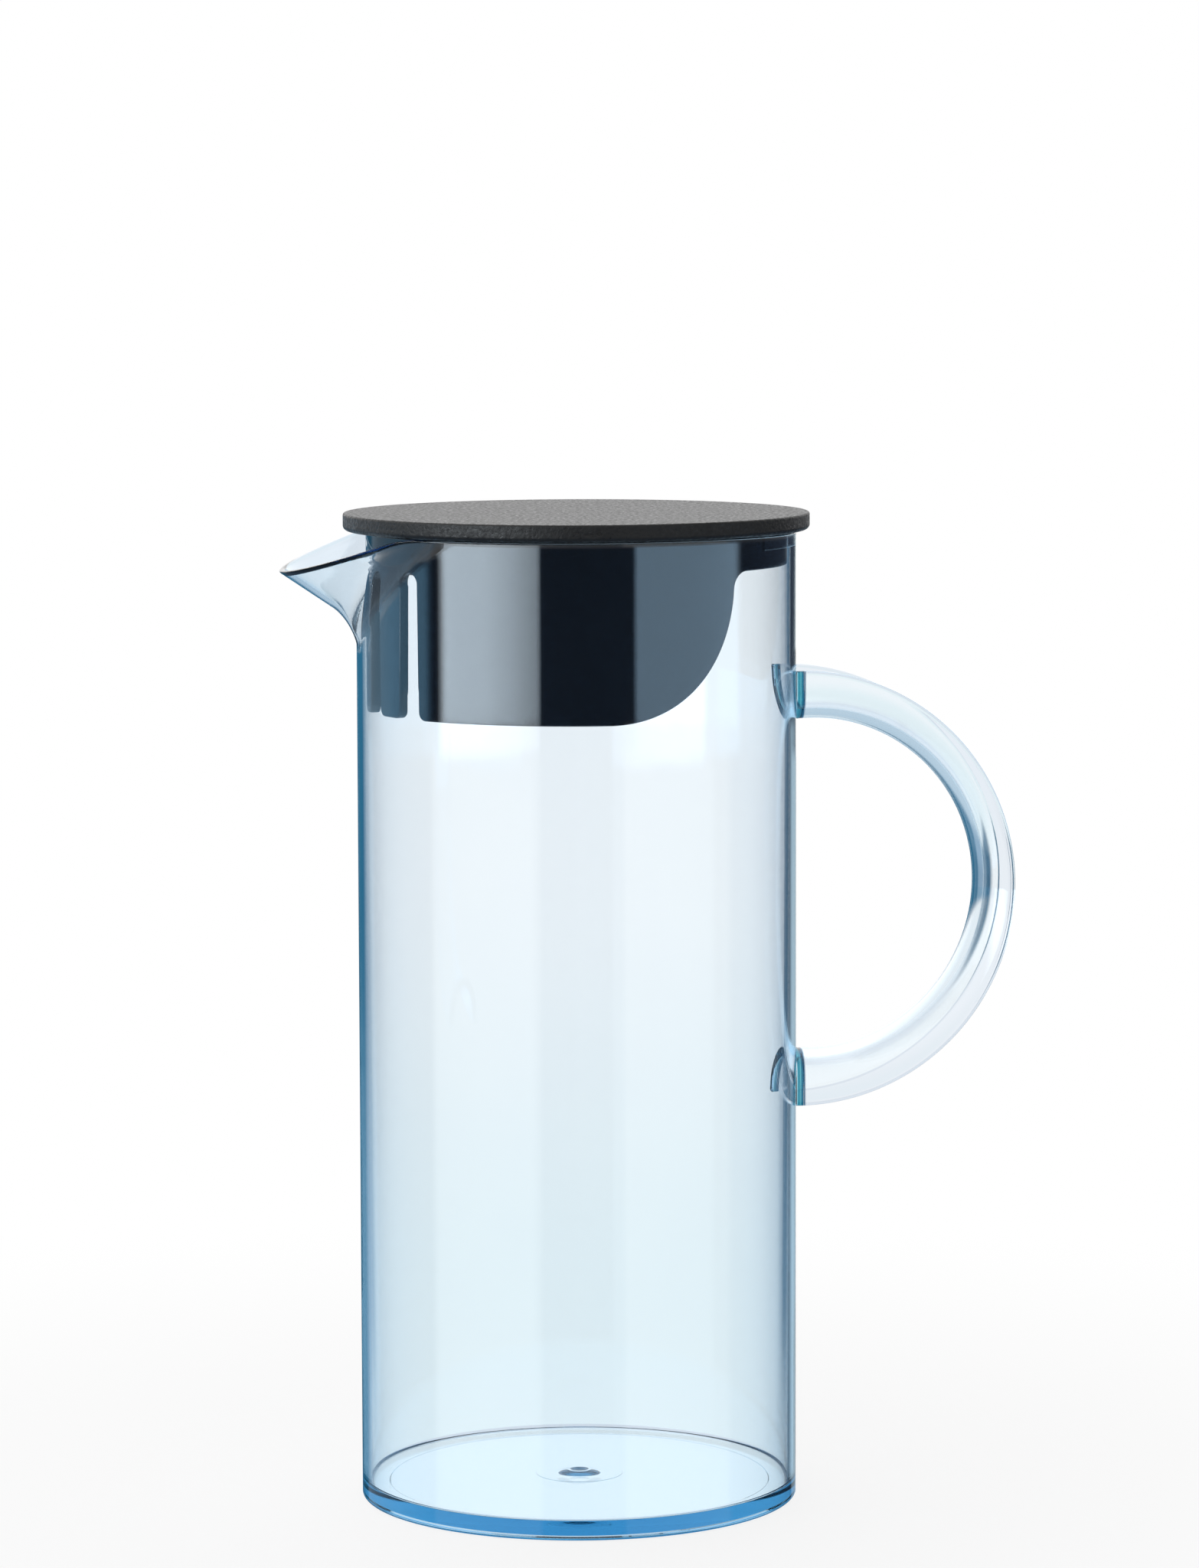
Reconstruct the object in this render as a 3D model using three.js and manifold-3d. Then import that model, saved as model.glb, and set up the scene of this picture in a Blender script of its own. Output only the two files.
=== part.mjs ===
// A clear plastic water jug: a straight barrel with a moulded spout, a bonded channel handle, and a
// black lid plate that carries a strainer ring inside the mouth. Millimetres, +Z up.
// The origin is the middle of the base's underside. The handle points along +X, the spout along -X.

import * as THREE from 'three';
import { mergeVertices } from 'three/addons/utils/BufferGeometryUtils.js';
import Module from 'manifold-3d';

// Barrel
const BARREL_RADIUS = 52.5;
const BARREL_HEIGHT = 233;
const WALL = 1.4; // at the rim and round the spout
const BASE_WALL = 1.9; // just above the floor, thicker by the mould's draft
const FLOOR = 4.4;
const BASE_EDGE = 0.8; // bevel round the foot
const INNER_CORNER = 2.5; // bevel between floor and wall, inside
const GATE_DOME_RADIUS = 5; // low dome in the middle of the floor
const GATE_DOME_HEIGHT = 1;

// Spout: an upright cone, point down, with its axis on the barrel's wall, under a sloping lip
const SPOUT_REACH = 71.3; // barrel axis to the lip's tip
const SPOUT_KEEL_ANGLE = 34; // degrees from level
const SPOUT_BLEND = 6; // fillet between cone and barrel
const LIP_DROP = 9; // barrel's rim down to the lip's tip
const LIP_SLOPE = 19.3; // degrees from level
const LIP_ROUND = 20; // radius where the level rim turns down into the lip

// Handle: a half-round channel, open outwards, swept round half a ring and bonded to two short stubs
const HANDLE_CENTRE_HEIGHT = 147;
const HANDLE_RIM_RADIUS = 52.4; // ring radius at the channel's open edges
const HANDLE_WIDTH = 23.8;
const HANDLE_DEPTH = 7.8; // of the channel, halfway round
const HANDLE_ROOT_DEPTH = 12.5; // of the channel, where it meets the barrel
const HANDLE_WALL = 2.3;
const STUB_LENGTH = 1.8; // channel stub moulded on the barrel, past its surface
const BOND_GAP = 0.3; // glue line between stub and handle

// Retaining pad inside the rim, on the handle's side
const PAD_HEIGHT = 3.3;
const PAD_PROUD = 0.6;
const PAD_HALF_ANGLE = 40.5; // degrees each side of the handle

// Strainer ring
const STRAINER_RUNNING_GAP = 0.3; // to the retaining pad
const STRAINER_WALL = 2.2;
const STRAINER_DEPTH = 42.3;
const STRAINER_TURN = -5.9; // degrees from the spout's middle line, as it stands
const BAND_HEIGHT = 7.8; // what is left of the ring over the open window
const WINDOW_HALF_ANGLE = 46.1; // degrees from the window's middle to its upright edge
const WINDOW_CORNER = 32.6; // big rounded lower corner of the ring beside the window
const WINDOW_FILLET = 4.2;
const WINDOW_OVERLAP = 5; // degrees that each half of the window's cutter runs past the middle
const SLIT_COUNT = 5;
const SLIT_PITCH = 18.5; // degrees
const SLIT_TOP_WIDTH = 6;
const SLIT_BOTTOM_WIDTH = 6.8;
const SLIT_TOP_DROP = 8; // rim of the ring down to a slit's round end
const FINGER_CORNER = 2;

// Lid plate
const PLATE_RADIUS = 55.6;
const PLATE_THICKNESS = 4.1;
const PLATE_SKIN = 2.4; // over the hollow inside the spigot
const PLATE_TOP_EDGE = 0.5;
const PLATE_UNDER_EDGE = 1.2;
const SEAT_GAP = 0.3; // plate to barrel rim, and plate to strainer
const SPIGOT_DEPTH = 5;
const SPIGOT_WALL = 1.8;
const SPIGOT_CLEARANCE = 0.3;
const SNAP_PROUD = 0.6; // bead on the spigot that holds the strainer
const SNAP_HEIGHT = 1.4;
const SNAP_DROP = 2.6; // plate's underside down to the top of the bead

// Resolution
const BARREL_SIDES = 76;
const SPOUT_CROWDING = 0.55; // 0 spreads the barrel's sides evenly, towards 1 crowds them at the spout
const SPOUT_LEVELS = 10;
const HANDLE_SIDES = 64;
const CHANNEL_STEPS = 10;
const RING_SIDES = 96;
const PLATE_SIDES = 72; // also of the faces at the handle's joints
const ARC_STEPS = 3;
const CURVE_STEPS = 12; // along each arc of an extruded outline
const HALVINGS = 40; // of the search for the wall's face

// Cutters run past what they cut by this much
const OVERCUT = 3;
const TINY = 1e-6;

// Worked out from the sizes above
const INNER_RADIUS = BARREL_RADIUS - WALL;
const FLOOR_RADIUS = BARREL_RADIUS - BASE_WALL;
const KEEL = THREE.MathUtils.degToRad(SPOUT_KEEL_ANGLE);
const LIP = THREE.MathUtils.degToRad(LIP_SLOPE);
const LIP_TIP_HEIGHT = BARREL_HEIGHT - LIP_DROP;
const CONE_POINT_HEIGHT = LIP_TIP_HEIGHT - (SPOUT_REACH - BARREL_RADIUS) * Math.tan(KEEL);
const SPOUT_ROOT_HEIGHT = CONE_POINT_HEIGHT - SPOUT_BLEND / Math.cos(KEEL);
const STUB_FACE = BARREL_RADIUS + STUB_LENGTH;
const CHANNEL_MIDDLE = HANDLE_RIM_RADIUS - HANDLE_DEPTH;
const CHANNEL_ROOT = HANDLE_RIM_RADIUS - HANDLE_ROOT_DEPTH;
const CHANNEL_SHIFT = (CHANNEL_MIDDLE ** 2 - CHANNEL_ROOT ** 2) / (2 * CHANNEL_MIDDLE);
const CHANNEL_RADIUS = CHANNEL_MIDDLE - CHANNEL_SHIFT;
const STRAINER_RADIUS = INNER_RADIUS - PAD_PROUD - STRAINER_RUNNING_GAP;
const STRAINER_BORE = STRAINER_RADIUS - STRAINER_WALL;
const STRAINER_BOTTOM = BARREL_HEIGHT - STRAINER_DEPTH;
const BAND_BOTTOM = BARREL_HEIGHT - BAND_HEIGHT;
const PLATE_UNDERSIDE = BARREL_HEIGHT + SEAT_GAP;
const PLATE_TOP = PLATE_UNDERSIDE + PLATE_THICKNESS;
const SPIGOT_RADIUS = STRAINER_BORE - SPIGOT_CLEARANCE;
const SNAP_TOP = PLATE_UNDERSIDE - SNAP_DROP;

const wasm = await Module();
wasm.setup();

// Closed solid from a three.js geometry: shared corners merged, flat slivers dropped, faces outwards
function solid(geometry) {
  const bare = geometry.clone();
  bare.deleteAttribute('normal');
  bare.deleteAttribute('uv');
  const merged = mergeVertices(bare);
  const points = merged.attributes.position.array;
  const corners = [];
  let volume = 0;
  for (let i = 0; i < merged.index.count; i += 3) {
    const [a, b, c] = merged.index.array.slice(i, i + 3);
    if (a === b || b === c || c === a) continue;
    corners.push(a, b, c);
    const [p, q, r] = [a, b, c].map((k) => new THREE.Vector3().fromArray(points, 3 * k));
    volume += p.dot(q.cross(r));
  }
  if (volume < 0) corners.reverse();
  const mesh = new wasm.Mesh({
    numProp: 3,
    vertProperties: new Float32Array(points),
    triVerts: new Uint32Array(corners),
  });
  return new wasm.Manifold(mesh);
}

function named(name, body, material) {
  const mesh = body.getMesh();
  const geometry = new THREE.BufferGeometry();
  geometry.setAttribute('position', new THREE.BufferAttribute(mesh.vertProperties, mesh.numProp));
  geometry.setIndex(new THREE.BufferAttribute(mesh.triVerts, 1));
  geometry.computeVertexNormals();
  const piece = new THREE.Mesh(geometry, material);
  piece.name = name;
  return piece;
}

// Profile points are [radius, height]; the lathe turns them about +Z
function turned(profile, sides) {
  const points = profile.map(([radius, height]) => new THREE.Vector2(radius, height));
  return new THREE.LatheGeometry(points, sides).rotateX(Math.PI / 2);
}

// Quarter arcs and other arcs of a profile, as [radius, height] points
function arc(radius, height, size, from, to) {
  const points = [];
  for (let i = 0; i <= ARC_STEPS; i++) {
    const angle = THREE.MathUtils.degToRad(from + ((to - from) * i) / ARC_STEPS);
    points.push([radius + size * Math.cos(angle), height + size * Math.sin(angle)]);
  }
  return points;
}

function extruded(shape, depth) {
  return new THREE.ExtrudeGeometry(shape, { depth, bevelEnabled: false, curveSegments: CURVE_STEPS });
}

// Shape drawn in (sideways, height), pushed out along +X from one distance to another
function pushedOut(shape, from, to) {
  const geometry = extruded(shape, to - from);
  geometry.applyMatrix4(new THREE.Matrix4().set(0, 0, 1, from, 1, 0, 0, 0, 0, 1, 0, 0, 0, 0, 0, 1));
  return geometry;
}

// Two distances from surfaces joined with a round fillet of the given size
function filleted(first, second, size) {
  const inside = Math.hypot(Math.max(size - first, 0), Math.max(size - second, 0));
  return Math.max(size, Math.min(first, second)) - inside;
}

// Distance from the axis to the wall's face, inset by a wall or by nothing, at an angle from the spout
function wallRadius(angle, height, inset) {
  const coneRadius = (height - CONE_POINT_HEIGHT) / Math.tan(KEEL);
  const outside = (radius) => {
    const fromAxis = Math.hypot(radius * Math.cos(angle) - BARREL_RADIUS, radius * Math.sin(angle));
    const toCone = (fromAxis - coneRadius) * Math.sin(KEEL);
    return filleted(radius - BARREL_RADIUS + inset, toCone + inset, SPOUT_BLEND + inset);
  };
  let near = BARREL_RADIUS - inset - TINY;
  let far = 2 * SPOUT_REACH;
  for (let i = 0; i < HALVINGS; i++) {
    const middle = (near + far) / 2;
    if (outside(middle) < 0) near = middle;
    else far = middle;
  }
  return near;
}

// A turned barrel whose wall bulges into the spout
function withSpout(profile, inset) {
  const geometry = turned(profile, BARREL_SIDES);
  const place = geometry.attributes.position;
  for (let i = 0; i < place.count; i++) {
    const radius = Math.hypot(place.getX(i), place.getY(i));
    const even = Math.atan2(place.getY(i), -place.getX(i));
    const angle = even - SPOUT_CROWDING * Math.sin(even);
    const height = Math.min(place.getZ(i), BARREL_HEIGHT);
    const straight = radius < TINY || height < SPOUT_ROOT_HEIGHT;
    const reach = straight ? radius : wallRadius(angle, height, inset);
    place.setX(i, -reach * Math.cos(angle));
    place.setY(i, reach * Math.sin(angle));
  }
  return solid(geometry);
}

function spoutLevels(radius) {
  const levels = [];
  for (let i = 0; i <= SPOUT_LEVELS; i++) {
    levels.push([radius, SPOUT_ROOT_HEIGHT + ((BARREL_HEIGHT - SPOUT_ROOT_HEIGHT) * i) / SPOUT_LEVELS]);
  }
  return levels;
}

// Everything above the lip: level up to the bend, round it, then down the lip's slope
function aboveLip() {
  const bend = LIP_ROUND * Math.tan(LIP / 2);
  const bendStart = SPOUT_REACH - LIP_DROP / Math.tan(LIP) - bend;
  const end = BARREL_RADIUS + (BARREL_HEIGHT - CONE_POINT_HEIGHT) / Math.tan(KEEL) + OVERCUT;
  const endHeight = LIP_TIP_HEIGHT - (end - SPOUT_REACH) * Math.tan(LIP);
  const shape = new THREE.Shape();
  shape.moveTo(bendStart, BARREL_HEIGHT + OVERCUT);
  shape.lineTo(bendStart, BARREL_HEIGHT);
  shape.absarc(bendStart, BARREL_HEIGHT - LIP_ROUND, LIP_ROUND, Math.PI / 2, Math.PI / 2 - LIP, true);
  shape.lineTo(end, endHeight);
  shape.lineTo(end, BARREL_HEIGHT + OVERCUT);
  shape.closePath();
  const width = 2 * (BARREL_RADIUS + OVERCUT);
  const geometry = extruded(shape, width).rotateX(Math.PI / 2).translate(0, width / 2, 0);
  return solid(geometry.rotateZ(Math.PI));
}

// Depth of the handle's channel at a turn from straight out. Its bottom runs round a smaller circle,
// which lies further out than the circle of its rims.
function channelDepth(turn) {
  const across = CHANNEL_SHIFT * Math.sin(turn);
  const bottom = CHANNEL_SHIFT * Math.cos(turn) + Math.sqrt(CHANNEL_RADIUS ** 2 - across ** 2);
  return HANDLE_RIM_RADIUS - bottom;
}

// Whole ring of the handle's channel, round an axis along Y: its section goes along the outer face from
// rim to rim and back along the inner face
function channelRing() {
  const section = [];
  for (let i = 0; i <= CHANNEL_STEPS; i++) {
    section.push({ angle: Math.PI * (i / CHANNEL_STEPS - 0.5), inset: 0 });
  }
  for (let i = CHANNEL_STEPS; i >= 0; i--) {
    section.push({ angle: Math.PI * (i / CHANNEL_STEPS - 0.5), inset: HANDLE_WALL });
  }
  section.push(section[0]);
  const half = HANDLE_WIDTH / 2;
  const profile = section.map(
    ({ angle, inset }) => new THREE.Vector2(HANDLE_RIM_RADIUS, (half - inset) * Math.sin(angle)),
  );
  const geometry = new THREE.LatheGeometry(profile, HANDLE_SIDES);
  const place = geometry.attributes.position;
  for (let i = 0; i < place.count; i++) {
    const { angle, inset } = section[i % section.length];
    const turn = Math.atan2(place.getZ(i), place.getX(i));
    const radius = HANDLE_RIM_RADIUS - (channelDepth(turn) - inset) * Math.cos(angle);
    place.setX(i, radius * Math.cos(turn));
    place.setZ(i, radius * Math.sin(turn));
  }
  return solid(geometry.translate(BARREL_RADIUS, 0, HANDLE_CENTRE_HEIGHT));
}

// Upright cylinder on the barrel's axis, past the handle at both ends, that gives the joint its face
function jointCylinder(radius) {
  const reach = HANDLE_RIM_RADIUS + OVERCUT;
  const low = HANDLE_CENTRE_HEIGHT - reach;
  const high = HANDLE_CENTRE_HEIGHT + reach;
  return solid(turned([[0, low], [radius, low], [radius, high], [0, high]], PLATE_SIDES));
}

function retainingPad() {
  const half = THREE.MathUtils.degToRad(PAD_HALF_ANGLE);
  const shape = new THREE.Shape();
  shape.absarc(0, 0, INNER_RADIUS + WALL / 2, -half, half, false);
  shape.absarc(0, 0, INNER_RADIUS - PAD_PROUD, half, -half, true);
  shape.closePath();
  return solid(extruded(shape, PAD_HEIGHT).translate(0, 0, BARREL_HEIGHT - PAD_HEIGHT));
}

function jugBarrel() {
  const outside = withSpout(
    [
      [0, 0],
      [BARREL_RADIUS - BASE_EDGE, 0],
      [BARREL_RADIUS, BASE_EDGE],
      ...spoutLevels(BARREL_RADIUS),
      [0, BARREL_HEIGHT],
    ],
    0,
  );
  const domeCurve = (GATE_DOME_RADIUS ** 2 + GATE_DOME_HEIGHT ** 2) / (2 * GATE_DOME_HEIGHT);
  const domeSpan = THREE.MathUtils.radToDeg(Math.asin(GATE_DOME_RADIUS / domeCurve));
  const dome = arc(0, FLOOR + GATE_DOME_HEIGHT - domeCurve, domeCurve, 90, 90 - domeSpan);
  const inside = withSpout(
    [
      [0, FLOOR + GATE_DOME_HEIGHT],
      ...dome.slice(1),
      [FLOOR_RADIUS - INNER_CORNER, FLOOR],
      [FLOOR_RADIUS, FLOOR + INNER_CORNER],
      ...spoutLevels(INNER_RADIUS),
      [INNER_RADIUS, BARREL_HEIGHT + OVERCUT],
      [0, BARREL_HEIGHT + OVERCUT],
    ],
    WALL,
  );
  const stubs = channelRing().intersect(jointCylinder(STUB_FACE));
  return outside.add(stubs).subtract(inside).subtract(aboveLip()).add(retainingPad());
}

function handle() {
  return channelRing().subtract(jointCylinder(STUB_FACE + BOND_GAP));
}

// Opening in the ring on the handle's side, drawn for one half in (sideways, height) and mirrored
function strainerWindow() {
  const spread = Math.asin(WINDOW_CORNER / (2 * STRAINER_RADIUS));
  const direction = THREE.MathUtils.degToRad(WINDOW_HALF_ANGLE) + spread;
  const pastMiddle = direction + THREE.MathUtils.degToRad(WINDOW_OVERLAP);
  const toe = -WINDOW_CORNER / 2;
  const cornerHeight = STRAINER_BOTTOM + WINDOW_CORNER;
  const filletHeight = BAND_BOTTOM - WINDOW_FILLET;
  const cornerEnd = Math.asin(Math.min(0, (filletHeight - cornerHeight) / WINDOW_CORNER));
  const upright = toe + WINDOW_CORNER * Math.cos(cornerEnd);
  const far = STRAINER_RADIUS * Math.sin(pastMiddle);
  const shape = new THREE.Shape();
  shape.moveTo(toe, STRAINER_BOTTOM - OVERCUT);
  shape.lineTo(toe, STRAINER_BOTTOM);
  shape.absarc(toe, cornerHeight, WINDOW_CORNER, -Math.PI / 2, cornerEnd, false);
  shape.lineTo(upright, filletHeight);
  shape.absarc(upright + WINDOW_FILLET, filletHeight, WINDOW_FILLET, Math.PI, Math.PI / 2, true);
  shape.lineTo(far, BAND_BOTTOM);
  shape.lineTo(far, STRAINER_BOTTOM - OVERCUT);
  shape.closePath();
  const half = pushedOut(shape, STRAINER_BORE * Math.cos(pastMiddle), STRAINER_RADIUS + OVERCUT);
  half.rotateZ(-direction);
  return solid(half).add(solid(half.clone().scale(1, -1, 1)));
}

// Slit between two fingers: open below with rounded corners, drawn in a little towards its round top
function strainerSlit(index) {
  const low = SLIT_BOTTOM_WIDTH / 2;
  const high = SLIT_TOP_WIDTH / 2;
  const topHeight = BARREL_HEIGHT - SLIT_TOP_DROP - high;
  const cornerHeight = STRAINER_BOTTOM + FINGER_CORNER;
  const shape = new THREE.Shape();
  shape.moveTo(-low - FINGER_CORNER, STRAINER_BOTTOM - OVERCUT);
  shape.lineTo(-low - FINGER_CORNER, STRAINER_BOTTOM);
  shape.absarc(-low - FINGER_CORNER, cornerHeight, FINGER_CORNER, -Math.PI / 2, 0, false);
  shape.lineTo(-high, topHeight);
  shape.absarc(0, topHeight, high, Math.PI, 0, true);
  shape.lineTo(low, cornerHeight);
  shape.absarc(low + FINGER_CORNER, cornerHeight, FINGER_CORNER, Math.PI, 1.5 * Math.PI, false);
  shape.lineTo(low + FINGER_CORNER, STRAINER_BOTTOM - OVERCUT);
  shape.closePath();
  const turn = THREE.MathUtils.degToRad((index - (SLIT_COUNT - 1) / 2) * SLIT_PITCH);
  const geometry = pushedOut(shape, STRAINER_BORE - OVERCUT, STRAINER_RADIUS + OVERCUT);
  return solid(geometry.rotateZ(Math.PI + turn));
}

function strainerRing() {
  const profile = [
    [STRAINER_RADIUS, STRAINER_BOTTOM],
    [STRAINER_RADIUS, BARREL_HEIGHT],
    [STRAINER_BORE, BARREL_HEIGHT],
    [STRAINER_BORE, SNAP_TOP],
    [STRAINER_BORE + SNAP_PROUD, SNAP_TOP - SNAP_HEIGHT / 2],
    [STRAINER_BORE, SNAP_TOP - SNAP_HEIGHT],
    [STRAINER_BORE, STRAINER_BOTTOM],
    [STRAINER_RADIUS, STRAINER_BOTTOM],
  ];
  let ring = solid(turned(profile, RING_SIDES)).subtract(strainerWindow());
  for (let index = 0; index < SLIT_COUNT; index++) {
    ring = ring.subtract(strainerSlit(index));
  }
  return ring;
}

function lidPlate() {
  const ceiling = PLATE_TOP - PLATE_SKIN;
  const spigotBore = SPIGOT_RADIUS - SPIGOT_WALL;
  const spigotEnd = PLATE_UNDERSIDE - SPIGOT_DEPTH;
  const profile = [
    [0, ceiling],
    [spigotBore, ceiling],
    [spigotBore, spigotEnd],
    [SPIGOT_RADIUS, spigotEnd],
    [SPIGOT_RADIUS, SNAP_TOP - SNAP_HEIGHT],
    [SPIGOT_RADIUS + SNAP_PROUD, SNAP_TOP - SNAP_HEIGHT / 2],
    [SPIGOT_RADIUS, SNAP_TOP],
    [SPIGOT_RADIUS, PLATE_UNDERSIDE],
    ...arc(PLATE_RADIUS - PLATE_UNDER_EDGE, PLATE_UNDERSIDE + PLATE_UNDER_EDGE, PLATE_UNDER_EDGE, -90, 0),
    ...arc(PLATE_RADIUS - PLATE_TOP_EDGE, PLATE_TOP - PLATE_TOP_EDGE, PLATE_TOP_EDGE, 0, 90),
    [0, PLATE_TOP],
  ];
  return solid(turned(profile, PLATE_SIDES));
}

const clearBlue = new THREE.MeshStandardMaterial({
  color: 0xbfdcec,
  roughness: 0.05,
  metalness: 0,
  transparent: true,
  opacity: 0.35,
});
const mattBlack = new THREE.MeshStandardMaterial({ color: 0x26262a, roughness: 0.65, metalness: 0 });
const glossBlack = new THREE.MeshStandardMaterial({ color: 0x16181c, roughness: 0.15, metalness: 0 });

const strainer = named('strainer_ring', strainerRing(), glossBlack);
strainer.rotation.z = THREE.MathUtils.degToRad(STRAINER_TURN);

const lid = new THREE.Group();
lid.add(named('lid_plate', lidPlate(), mattBlack), strainer);

const jug = new THREE.Group();
jug.add(named('jug_barrel', jugBarrel(), clearBlue), named('handle', handle(), clearBlue), lid);

export default jug;
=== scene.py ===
import math

import bmesh
import bpy
from mathutils import Matrix, Vector


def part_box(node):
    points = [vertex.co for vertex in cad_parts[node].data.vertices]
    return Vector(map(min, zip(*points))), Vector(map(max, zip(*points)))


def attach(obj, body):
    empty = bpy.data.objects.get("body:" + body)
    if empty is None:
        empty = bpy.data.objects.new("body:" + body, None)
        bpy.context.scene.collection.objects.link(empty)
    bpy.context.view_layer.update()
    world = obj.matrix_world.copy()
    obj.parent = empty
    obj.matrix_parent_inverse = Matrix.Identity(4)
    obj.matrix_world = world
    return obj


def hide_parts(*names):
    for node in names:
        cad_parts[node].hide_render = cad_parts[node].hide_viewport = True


# Looks of a clear water jug: barrel, channel handle, matt lid plate and glossy strainer ring.
# Metres, +Z up, origin in the middle of the base's underside, handle along +X, spout along -X.
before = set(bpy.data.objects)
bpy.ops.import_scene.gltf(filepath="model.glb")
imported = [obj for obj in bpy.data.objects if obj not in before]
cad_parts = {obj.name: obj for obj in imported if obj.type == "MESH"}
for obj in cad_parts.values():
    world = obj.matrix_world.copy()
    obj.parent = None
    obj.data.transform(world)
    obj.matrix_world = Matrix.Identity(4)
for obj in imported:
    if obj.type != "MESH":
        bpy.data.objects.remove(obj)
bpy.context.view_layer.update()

MM = 0.001
ABOUT_Y = Vector((0, 1, 0))
ABOUT_Z = Vector((0, 0, 1))
TINY = 1e-7
CORNER_ANGLE = math.radians(50)
SHARP_ANGLE = math.radians(35)
NORMAL_WEIGHT = 90

barrel_low, barrel_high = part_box("jug_barrel")
handle_low, handle_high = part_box("handle")
ring_low, ring_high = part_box("strainer_ring")
plate_low, plate_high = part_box("lid_plate")

# Barrel
BARREL_RADIUS = barrel_high.y
BARREL_STEPS = 320
RIM_HEIGHT = barrel_high.z
RIM_WALL = 1.4 * MM
RIM_ROUND = 0.5 * MM
RIM_STEPS = 5
STRAIGHT_TOP = RIM_HEIGHT - RIM_ROUND
INNER_RADIUS = BARREL_RADIUS - RIM_WALL
MID_WALL_RADIUS = BARREL_RADIUS - RIM_WALL / 2
TAPER_DROP = 6 * MM  # from the strainer's lower edge to where the inner wall starts to taper
FOOT_WALL = 1.9 * MM
FOOT_ROUND = 0.8 * MM
FOOT_STEPS = 6
FOOT_RING_RADIUS = 46 * MM
FOOT_RECESS = 0.25 * MM
JUG_FLOOR = 4.4 * MM
INNER_CORNER = 0.8 * MM
INNER_CORNER_STEPS = 8

# Moulding gate in the middle of the jug's floor, inside a faint circle
GATE_DOME_RADIUS = 5 * MM
GATE_DOME_HEIGHT = 1 * MM
GATE_DOME_STEPS = 10
GATE_CRATER_RADIUS = 2.3 * MM
GATE_CRATER_DEPTH = 0.45 * MM
GATE_CRATER_SHARES = (0.85, 0.7, 0.55, 0.4, 0.2, 0)
GATE_MARGIN = 0.4 * MM
GATE_CIRCLE_RADIUS = 10.4 * MM
GATE_CIRCLE_STEP = 0.05 * MM

# Spout: an upright cone, point down, with its axis on the barrel's wall, under a sloping lip
SPOUT_REACH = -barrel_low.x
SPOUT_BLEND = 6 * MM
SPOUT_HALF_ANGLE = math.pi / 3
SPOUT_CROWDING = 0.5
SPOUT_LEVELS = 28
KEEL = math.radians(34)
LIP_DROP = 9 * MM
LIP_SLOPE = math.radians(19.3)
LIP_ROUND = 20 * MM
LIP_TIP_HEIGHT = RIM_HEIGHT - LIP_DROP
LIP_BEND = LIP_ROUND * math.tan(LIP_SLOPE / 2)
LIP_BEND_START = SPOUT_REACH - LIP_DROP / math.tan(LIP_SLOPE) - LIP_BEND
LIP_BEND_END = LIP_BEND_START + LIP_ROUND * math.sin(LIP_SLOPE)
CONE_POINT_HEIGHT = LIP_TIP_HEIGHT - (SPOUT_REACH - BARREL_RADIUS) * math.tan(KEEL)
SPOUT_ROOT_HEIGHT = CONE_POINT_HEIGHT - SPOUT_BLEND / math.cos(KEEL)

# Search for the spout's wall and lip by halving
SEARCH_REACH = 1.5 * SPOUT_REACH
HALVINGS = 26
SAME_ANGLE_DIGITS = 5
SAME_INSET_DIGITS = 7

# Handle
HANDLE_CENTRE = Vector((BARREL_RADIUS, 0, (handle_low.z + handle_high.z) / 2))
HANDLE_RIM_RADIUS = handle_high.x - BARREL_RADIUS
HANDLE_HALF_WIDTH = handle_high.y
HANDLE_DEPTH = 7.8 * MM
HANDLE_ROOT_DEPTH = 12.5 * MM
HANDLE_WALL = 2.3 * MM
HANDLE_RIM_EDGE = 0.7 * MM
HANDLE_EDGE_STEPS = 4
HANDLE_STEPS = 176
CHANNEL_STEPS = 28
CHANNEL_MIDDLE = HANDLE_RIM_RADIUS - HANDLE_DEPTH
CHANNEL_ROOT = HANDLE_RIM_RADIUS - HANDLE_ROOT_DEPTH
CHANNEL_SHIFT = (CHANNEL_MIDDLE**2 - CHANNEL_ROOT**2) / (2 * CHANNEL_MIDDLE)
CHANNEL_RADIUS = CHANNEL_MIDDLE - CHANNEL_SHIFT
CHANNEL_INNER_DEPTH = HANDLE_ROOT_DEPTH - HANDLE_WALL
STUB_FACE = barrel_high.x
GLUE_LINE = 0.04 * MM

# Retaining pad inside the rim, on the handle's side
PAD_HEIGHT = 3.3 * MM
PAD_PROUD = 0.6 * MM
PAD_TOP_DROP = 0.4 * MM
PAD_HALF_ANGLE = math.radians(40.5)
PAD_STEPS = 40

# Strainer ring
RING_RADIUS = ring_high.y
RING_WALL = 2.2 * MM
RING_TOP = ring_high.z
RING_BOTTOM = ring_low.z
RING_TURN = math.radians(-5.9)
RING_STRIPS = 120
RING_EDGE = 0.35 * MM
RING_EDGE_STEPS = 3
BAND_HEIGHT = 7.8 * MM
WINDOW_HALF_ANGLE = math.radians(46.1)
WINDOW_CORNER = 32.6 * MM
WINDOW_CORNER_STEPS = 40
WINDOW_FILLET = 4.2 * MM
WINDOW_FILLET_STEPS = 8
SLIT_COUNT = 5
SLIT_PITCH = math.radians(18.5)
SLIT_TOP_DROP = 8 * MM
SLIT_TOP_HALF_WIDTH = 3 * MM
SLIT_TOP_STEPS = 20
SLIT_FOOT_HALF_WIDTH = 3.4 * MM
FINGER_CORNER = 2 * MM
FINGER_CORNER_STEPS = 6
SAME_POINT = 0.04 * MM

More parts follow.
